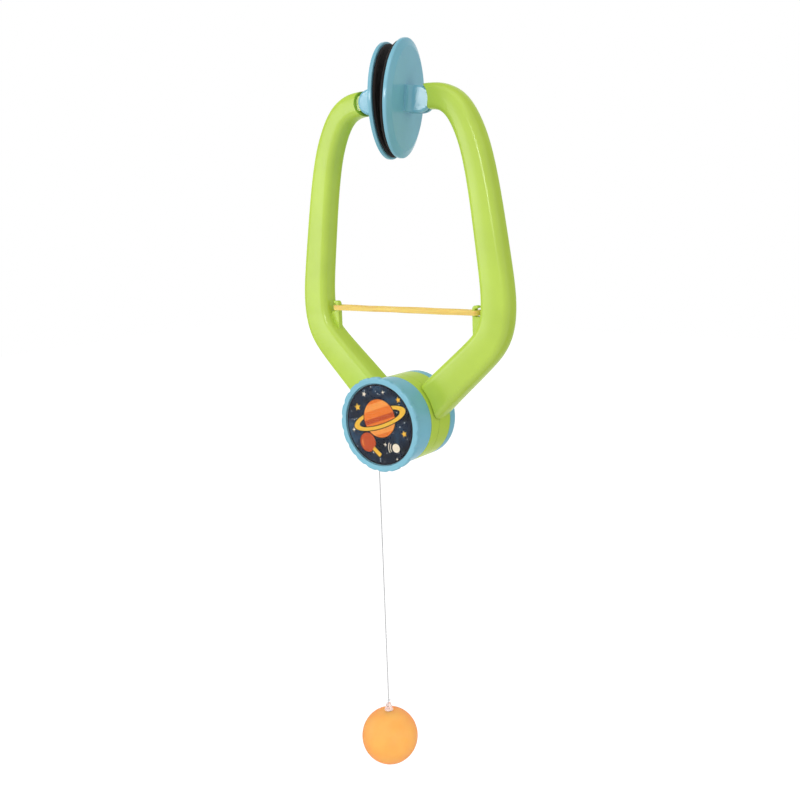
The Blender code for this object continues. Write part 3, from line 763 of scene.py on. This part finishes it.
def band_mesh():
    """One closed loop round both posts, whose section varies a little along it."""
    straight = 72
    path = [Vector((-NECK_X + 2 * NECK_X * i / straight, -BAND_TURN)) for i in range(straight)]
    path += [Vector((NECK_X + x, y)) for x, y in arc((0, 0), BAND_TURN, -90, 84, 29)]
    path += [Vector((NECK_X - 2 * NECK_X * i / straight, BAND_TURN)) for i in range(straight)]
    path += [Vector((x - NECK_X, y)) for x, y in arc((0, 0), BAND_TURN, 90, 264, 29)]
    sections = []
    for i, point in enumerate(path):
        along = path[(i + 1) % len(path)] - path[i - 1]
        across = Vector((along.y, -along.x)).normalized()
        phase = 2 * math.pi * i / len(path)
        swell = 1 + 0.04 * math.sin(5 * phase) + 0.03 * math.sin(11 * phase + 1)
        half_height = BAND_WIDTH / 2 * swell
        half = BAND_THICKNESS / 2
        corners = ((half, half_height), (-half, half_height), (-half, -half_height), (half, -half_height))
        outline = rounded([(u, v, BAND_EDGE) for u, v in corners])
        sections.append([(point.x + across.x * u, point.y + across.y * u, v) for u, v in outline])
    return moved(loft(sections, cyclic=True), Matrix.Translation((0, 0, HUB_Z + POST_HEIGHT)))


band = piece("rubber_band", band_mesh(), LATEX, nodes=["band_left_half", "band_right_half"])
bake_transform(band)


# Drum, knob and dial

def lobes(angle):
    """How far the knob's rim falls in at an angle: broad lobes with a shallow notch between them."""
    pitch = 2 * math.pi / KNOB_LOBES
    off = (angle - KNOB_PHASE + pitch / 2) % pitch - pitch / 2
    share = min(abs(off) / KNOB_NOTCH_ANGLE, 1)
    return -KNOB_NOTCH * math.cos(share * math.pi / 2) ** 2


def make_knob():
    sleeve = 9.0 * MM
    sleeve_end = -16.5 * MM
    well = 6.0 * MM
    seat = -27.5 * MM
    bore = 2.2 * MM
    groove_out = 31.4 * MM
    groove_in = 28.7 * MM
    groove = KNOB_BACK - 1.35 * MM
    profile = rounded([
        (KNOB_RADIUS, KNOB_FRONT, 1.0 * MM), (KNOB_RADIUS, KNOB_BACK, 0.6 * MM), (groove_out, KNOB_BACK, 0),
        (groove_out, groove, 0), (groove_in, groove, 0), (groove_in, KNOB_BACK, 0), (sleeve, KNOB_BACK, 0),
        (sleeve, sleeve_end, 0.4 * MM), (bore, sleeve_end, 0), (bore, seat, 0), (well, seat, 0),
        (well, WINDOW_FLOOR, 0), (WINDOW_RADIUS, WINDOW_FLOOR, 0), (WINDOW_RADIUS, KNOB_FRONT, 0.5 * MM)])
    mesh = turned(profile, KNOB_LOBES * 16, shape=lobes)
    piece("scalloped_knob", moved(mesh, HUB), BLUE, "knob", ["winding_knob"])
    lens_radius = WINDOW_RADIUS - GAP
    rings = 10
    shares = [i / rings for i in range(rings + 1)]
    dome = [(lens_radius * share, LENS_EDGE - LENS_CROWN * (1 - share ** 2)) for share in shares]
    mesh = turned([*dome, (lens_radius, LENS_BACK), (0, LENS_BACK)], closed=False)
    piece("domed_cover", moved(mesh, HUB), CLEAR, "knob", ["dial_lens"])


def make_drum():
    inside = DRUM_RADIUS - 2.8 * MM
    floor = HOUSING_BACK - 1.8 * MM
    hole = 2.2 * MM
    tube_radius = 9.0 * MM
    tube_bore = 7.0 * MM
    tube_end = 9.0 * MM
    mesh = turned(rounded([
        (DRUM_RADIUS, HOUSING_FRONT, EDGE), (DRUM_RADIUS, HOUSING_BACK, EDGE), (tube_radius, HOUSING_BACK, 0),
        (tube_radius, tube_end, 0), (tube_bore, tube_end, 0), (tube_bore, HOUSING_BACK, 0),
        (hole, HOUSING_BACK, 0), (hole, floor, 0), (inside, floor, 0), (inside, HOUSING_FRONT, 0)]))
    half = 1.2 * MM
    notch_back = LINE_Y + 2.8 * MM
    notch = box((LINE_X - half, -BIG, -BIG), (LINE_X + half, notch_back, EDGE - inside))
    mesh = combine(mesh, "DIFFERENCE", notch)
    piece("reel_drum", moved(mesh, HUB), BLUE, "hub", ["reel_housing"])

    boss = tube_bore - GAP
    boss_tip = -8.0 * MM
    boss_hole = 7.0 * MM
    cap_floor = CAP_BACK - WALL
    cap_inside = DRUM_RADIUS - RING_RIM
    mesh = turned(rounded([
        (0, boss_hole, 0), (hole, boss_hole, 0), (hole, boss_tip, 0), (boss, boss_tip, 0),
        (boss, cap_floor, 0), (cap_inside, cap_floor, 0), (cap_inside, CAP_FRONT, 0),
        (DRUM_RADIUS, CAP_FRONT, EDGE), (DRUM_RADIUS, CAP_BACK, 2.5 * MM), (0, CAP_BACK, 0)]), closed=False)
    piece("drum_cap", moved(mesh, HUB), BLUE, "hub", ["back_cap"])


make_knob()
make_drum()


# Dial print: a ringed planet, a bat, a ball and stars

INKS = {
    "outline": ink("ink_outline", srgb(20, 22, 30)),
    "orange": ink("ink_orange", srgb(236, 124, 46)),
    "amber": ink("ink_amber", srgb(246, 158, 74)),
    "rust": ink("ink_rust", srgb(196, 82, 40)),
    "yellow": ink("ink_yellow", srgb(240, 190, 66)),
    "cream": ink("ink_cream", srgb(244, 232, 208)),
}
INK_STEP = 0.03 * MM


def printed(name, loops, level, colour):
    """A flat print on the dial, from outlines in mm; each level lies over the one below."""
    mesh = flat([[(x * MM, z * MM) for x, z in points] for points in loops], 0.02 * MM)
    front = DIAL_FRONT - INK_STEP * (level + 0.6)
    piece("print_" + name, moved(mesh, HUB @ Matrix.Translation((0, front, 0))), INKS[colour], "knob")


def turned_points(points, centre, degrees):
    c, s = math.cos(math.radians(degrees)), math.sin(math.radians(degrees))
    return [(centre[0] + c * x - s * z, centre[1] + s * x + c * z) for x, z in points]


def ellipse(a, b, start, end, steps):
    return [(a * x, b * z) for x, z in arc((0, 0), 1.0, start, end, steps)]


def star(centre, radius, tips, waist, degrees):
    points = []
    for i in range(2 * tips):
        reach = radius if i % 2 == 0 else radius * waist
        points += turned_points([(0.0, reach)], (0, 0), 180 * i / tips)
    return turned_points(points, centre, degrees)


def make_dial_print():
    rim = WINDOW_RADIUS / MM - 0.7
    printed("rim", [arc((0, 0), rim, 0, 357, 119), arc((0, 0), rim - 1.0, 0, 357, 119)], 0, "outline")
    planet = (0.5, 4.5)
    radius = 13.0
    lean = 20
    line = 0.55

    def half_ring(start, grow=0.0):
        """Half of the planet's ring from an angle on; grow widens it for its outline."""
        outer = ellipse(23.0 + grow, 6.6 + grow, start, start + 180, 40)
        inner = ellipse(18.2 - grow, 4.3 - grow, start + 180, start, 40)
        return [turned_points(outer + inner, planet, lean)]

    printed("ring_back_edge", half_ring(0, line), 0, "outline")
    printed("ring_back", half_ring(0), 1, "yellow")
    printed("planet_edge", [arc(planet, radius + line, 0, 354, 59)], 2, "outline")
    printed("planet", [arc(planet, radius, 0, 354, 59)], 3, "orange")
    bands = (("band_low", -52, -30, "amber"), ("band_mid", -8, 6, "rust"), ("band_high", 30, 56, "amber"))
    for name, low, high, colour in bands:
        right = arc((0, 0), radius, low, high, 8)
        left = [(-x, z) for x, z in reversed(right)]
        printed(name, [turned_points(right + left, planet, lean)], 4, colour)
    printed("ring_front_edge", half_ring(180, line), 5, "outline")
    printed("ring_front", half_ring(180), 6, "yellow")

    bat = (-10.0, -13.0)
    bat_lean = 52
    head = arc((0, 0), 6.6, -62, 242, 44)
    grip = [(1.5, -4.5), (1.5, -13.2), (-1.5, -13.2), (-1.5, -4.5)]
    grip_edge = [(2.1, -4.5), (2.1, -13.8), (-2.1, -13.8), (-2.1, -4.5)]
    printed("bat_edge", [turned_points(arc((0, 0), 7.2, 0, 354, 59), bat, bat_lean)], 0, "outline")
    printed("grip_edge", [turned_points(grip_edge, bat, bat_lean)], 1, "outline")
    printed("grip", [turned_points(grip, bat, bat_lean)], 2, "yellow")
    printed("bat", [turned_points(head, bat, bat_lean)], 3, "rust")
    shine = arc((0, 0), 4.9, 110, 170, 12) + arc((0, 0), 4.2, 170, 110, 12)
    printed("bat_shine", [turned_points(shine, bat, bat_lean)], 4, "amber")
    ball_spot = (13.5, -14.5)
    printed("ball_edge", [arc(ball_spot, 3.6, 0, 350, 35)], 0, "outline")
    printed("ball", [arc(ball_spot, 3.05, 0, 350, 35)], 1, "cream")
    for i, reach in enumerate((5.0, 6.6)):
        streak = arc(ball_spot, reach, 150, 215, 14) + arc(ball_spot, reach - 0.55, 215, 150, 14)
        printed(f"ball_streak_{i}", [streak], 0, "cream")
    stars = (((-18.0, 10.5), 2.8, 5, 0.45, 12, "yellow"), ((-12.0, 20.0), 2.0, 5, 0.45, -10, "cream"),
             ((20.5, -4.0), 2.4, 5, 0.45, 20, "yellow"), ((-22.0, -5.5), 1.7, 4, 0.3, 0, "cream"),
             ((16.5, 18.5), 2.2, 5, 0.45, 15, "yellow"), ((4.5, -13.0), 1.6, 4, 0.3, 0, "cream"),
             ((4.0, 22.5), 1.5, 4, 0.3, 10, "cream"), ((14.0, -22.0), 1.3, 4, 0.3, 0, "cream"))
    for i, (spot, size, tips, waist, turn, colour) in enumerate(stars):
        printed(f"star_{i}", [star(spot, size, tips, waist, turn)], 0, colour)


make_dial_print()


# Line, knot, eyelet and ball

def upright(mesh, matrix):
    """A solid turned about Y, stood on Z."""
    return moved(mesh, matrix @ Matrix.Rotation(math.pi / 2, 4, "X"))


def make_ball():
    centre = Matrix.Translation((LINE_X, LINE_Y, BALL_Z))
    pocket = BALL_RADIUS - POCKET_DEPTH
    top = math.degrees(math.acos(BALL_HOLE / BALL_RADIUS))
    outside = arc((0, 0), BALL_RADIUS, top, -90, 64)
    outside[-1] = (0, -BALL_RADIUS)
    mesh = upright(turned([(0, pocket), (BALL_HOLE, pocket), *outside], 96, closed=False), centre)
    piece("celluloid_ball", mesh, CELLULOID, "ball", ["ball"])


def make_eyelet():
    """A plate like an A on a round flange, with a stem in the ball's hole."""
    lap = 0.3 * MM
    foot = EYELET_FLANGE - lap
    outline = rounded([(-EYELET_FOOT, foot, 0), (EYELET_FOOT, foot, 0), (EYELET_TIP, EYELET_APEX, 1.0 * MM),
                       (-EYELET_TIP, EYELET_APEX, 1.0 * MM)])
    sill = EYELET_EYE - 0.9 * MM
    peak = EYELET_EYE + 1.7 * MM
    hole = rounded([(-1.5 * MM, sill, 0.3 * MM), (1.5 * MM, sill, 0.3 * MM), (0.4 * MM, peak, 0.35 * MM),
                    (-0.4 * MM, peak, 0.35 * MM)])
    plate = flat([outline, hole], EYELET_DEPTH, 0.3 * MM)
    stem_radius = BALL_HOLE - GAP
    stem_end = EYELET_BASE - STEM_DEPTH
    stem = turned(rounded([
        (0, EYELET_FLANGE, 0), (2.9 * MM, EYELET_FLANGE, 0.4 * MM), (3.1 * MM, EYELET_BASE, 0),
        (stem_radius, EYELET_BASE, 0), (stem_radius, stem_end, 0.4 * MM), (0, stem_end, 0)]),
        SMALL, closed=False)
    mesh = combine(plate, "UNION", upright(stem, Matrix.Identity(4)))
    eyelet = piece("clear_eyelet", moved(mesh, Matrix.Translation((LINE_X, LINE_Y, BALL_Z))), EYELET_CLEAR,
                   "ball", ["ball_eyelet"])
    eyelet.visible_shadow = False  # light goes through clear plastic, but a shadow ray doesn't


def make_line():
    """The knot, a loop through the eyelet with wraps over it, and the straight line above it."""
    knot_z = BALL_Z + EYELET_EYE + 4.05 * MM
    loop_z = BALL_Z + EYELET_EYE + 2.2 * MM
    path = [(0.0, y, z) for y, z in arc((0, loop_z), KNOT_LOOP, 100, 440, 28)]
    steps = KNOT_WRAPS * KNOT_STEPS
    for i in range(steps):
        angle = 2 * math.pi * i / KNOT_STEPS
        path.append((KNOT_RADIUS * math.sin(angle), KNOT_RADIUS * math.cos(angle),
                     knot_z - 0.6 * MM + KNOT_HEIGHT * i / steps))
    path.append((0.9 * MM, 1.5 * MM, knot_z + 1.0 * MM))
    spots = [(LINE_X + x, LINE_Y + y, z) for x, y, z in path]
    # The knot takes the paler copy of the line's nylon, which is painted light over its shade.
    knot = piece("tied_knot", tube(spots, KNOT_LINE, 8), KNOT_FILAMENT_PAINTED_LIGHTER, "ball", ["line_knot"],
                 sharp=80)
    points = 30
    route = [(LINE_X, LINE_Y, LINE_TOP + (LINE_END - LINE_TOP) * i / points) for i in range(points + 1)]
    line = piece("nylon_line", tube(route, LINE_RADIUS, 12), FILAMENT, nodes=["hanging_line"],
                 sharp=80)
    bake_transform(line)


make_ball()
make_eyelet()
make_line()


# Pieces that keep their CAD shape

def dress(node, material):
    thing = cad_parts[node]
    thing.data.materials.clear()
    thing.data.materials.append(material)
    thing.data.shade_smooth()
    thing.data.set_sharp_from_angle(angle=math.radians(SHARP))


for node in ("left_pad_pin", "right_pad_pin", "axle_screw", "spring_washer"):
    dress(node, STEEL)
for node in ("slip_washer", "line_spool"):
    dress(node, NYLON)
dress("line_winding", FILAMENT)
dress("dial_disc", SKY)


# Camera, floor and light

def add_camera():
    back = Vector((math.sin(AZIMUTH) * math.cos(ELEVATION), -math.cos(AZIMUTH) * math.cos(ELEVATION),
                   math.sin(ELEVATION)))
    right = Vector((math.cos(AZIMUTH), math.sin(AZIMUTH), 0))
    up = back.cross(right)
    across = math.cos(ROLL) * right + math.sin(ROLL) * up
    upward = math.cos(ROLL) * up - math.sin(ROLL) * right
    camera = bpy.data.cameras.new("camera")
    camera.sensor_width = 36
    camera.lens = FOCAL
    holder = bpy.data.objects.new("camera", camera)
    turn = Matrix((across, upward, back)).transposed().to_4x4()
    holder.matrix_world = Matrix.Translation(TARGET + DISTANCE * back) @ turn
    bpy.context.scene.collection.objects.link(holder)
    bpy.context.scene.camera = holder


def add_lamp(name, source, degrees, strength):
    """Soft light from one side, as even over the floor as over the object."""
    lamp = bpy.data.lights.new(name, "SUN")
    lamp.energy = strength
    lamp.angle = math.radians(degrees)
    holder = bpy.data.objects.new(name, lamp)
    holder.rotation_euler = Vector(source).to_track_quat("Z", "Y").to_euler()
    bpy.context.scene.collection.objects.link(holder)


def add_panel(name, source, distance, size, watts, target=(0, 0, 0), spread=180):
    """A square soft box that looks at a target, and shows in its gloss."""
    lamp = bpy.data.lights.new(name, "AREA")
    lamp.size = size
    lamp.energy = watts
    lamp.spread = math.radians(spread)
    holder = bpy.data.objects.new(name, lamp)
    holder.location = Vector(target) + distance * Vector(source).normalized()
    holder.rotation_euler = Vector(source).to_track_quat("Z", "Y").to_euler()
    bpy.context.scene.collection.objects.link(holder)


FLOOR_Z = -1.0
FLOOR_HALF = 6.0
FLOOR_GREY = 0.82
FLOOR_LIFT = 0.42            # added where it is seen directly, so that it looks white
AMBIENT = 0.70


def seen_directly(tree):
    """1 for rays from the camera, off a gloss or through clear plastic."""
    path = tree.nodes.new("ShaderNodeLightPath")
    total = path.outputs["Is Camera Ray"]
    for name in ("Is Glossy Ray", "Is Transmission Ray"):
        most = tree.nodes.new("ShaderNodeMath")
        most.operation = "MAXIMUM"
        tree.links.new(total, most.inputs[0])
        tree.links.new(path.outputs[name], most.inputs[1])
        total = most.outputs[0]
    return total


def add_world():
    world = bpy.data.worlds.new("studio")
    world.use_nodes = True
    tree = world.node_tree
    strength = tree.nodes.new("ShaderNodeMapRange")
    strength.inputs["To Min"].default_value = AMBIENT
    strength.inputs["To Max"].default_value = 1.0
    tree.links.new(seen_directly(tree), strength.inputs["Value"])
    background = tree.nodes["Background"]
    background.inputs["Color"].default_value = (1, 1, 1, 1)
    tree.links.new(strength.outputs["Result"], background.inputs["Strength"])
    bpy.context.scene.world = world


def add_floor():
    """A pale floor that looks white and still takes the object's shadow."""
    n = Nodes("pale_floor")
    n.set(Base_Color=(FLOOR_GREY, FLOOR_GREY, FLOOR_GREY, 1), Roughness=0.9, Specular_IOR_Level=0.0)
    n.set(Emission_Color=(1, 1, 1, 1))
    lift = n.add("ShaderNodeMath", operation="MULTIPLY")
    lift.inputs[1].default_value = FLOOR_LIFT
    n.link(seen_directly(n.tree), lift.inputs[0])
    n.link(lift.outputs[0], n.shader.inputs["Emission Strength"])
    half = FLOOR_HALF
    corners = [(-half, -half, 0), (half, -half, 0), (half, half, 0), (-half, half, 0)]
    mesh = bpy.data.meshes.new("floor")
    mesh.from_pydata(corners, [], [(0, 1, 2, 3)])
    mesh.materials.append(n.material)
    floor = bpy.data.objects.new("floor", mesh)
    floor.location.z = FLOOR_Z
    bpy.context.scene.collection.objects.link(floor)


add_camera()
add_world()
add_floor()
add_lamp("top_fill", (0.10, -0.60, 0.80), degrees=50, strength=0.36)
add_panel("left_box", (-0.70, -0.71, 0.03), distance=1.3, size=0.66, watts=2.9)
add_panel("front_box", (0.0, -0.99, 0.125), distance=1.3, size=0.26, watts=2.6)
add_panel("ball_box", (0.84, -0.36, 0.12), distance=0.6, size=0.3, watts=0.09,
          target=(LINE_X, LINE_Y, BALL_Z), spread=36)
bpy.context.scene.view_settings.view_transform = "Standard"
